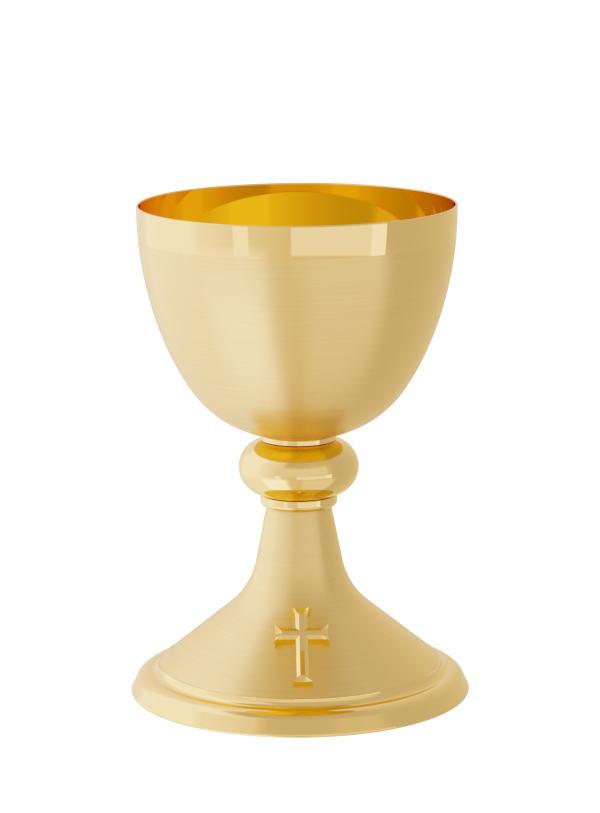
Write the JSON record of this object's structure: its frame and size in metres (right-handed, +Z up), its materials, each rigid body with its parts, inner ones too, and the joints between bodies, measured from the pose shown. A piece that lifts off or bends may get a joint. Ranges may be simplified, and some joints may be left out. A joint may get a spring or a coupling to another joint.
{
  "type": "communion chalice",
  "caption": "Spun metal chalice: deep round cup on a stem with a flattened ball knop, a flared foot with a turned rim and an applied cross.",
  "frame": {"origin": "centre of the circle that the foot rests on", "axes": "+Z up along the turning axis, the applied cross faces -Y, +X is to the right of someone who looks at the cross"},
  "size_m": [0.138, 0.138, 0.2],
  "materials": {
    "satin_gold": "gold plate, satin finished with fine lines running round the piece",
    "polished_gold": "gold plate, mirror polished",
    "raw_brass": "turned brass, unpolished",
    "steel": "zinc plated fastener"
  },
  "bodies": {
    "root": {"cup_bowl": "satin_gold", "cup_boss": "raw_brass", "upper_collar": "polished_gold", "knop_upper_half": "polished_gold", "knop_lower_half": "polished_gold", "knop_sleeve": "raw_brass", "lower_collar": "polished_gold", "tie_rod": "steel", "spreader_washer": "raw_brass", "lock_washer": "steel", "rod_nut": "steel", "neck_ferrule": "raw_brass", "foot_shell": "satin_gold", "foot_rim": "polished_gold", "cross": "polished_gold", "cross_studs": "raw_brass", "cross_washers": "raw_brass", "cross_nuts": "raw_brass"}
  },
  "joints": []
}
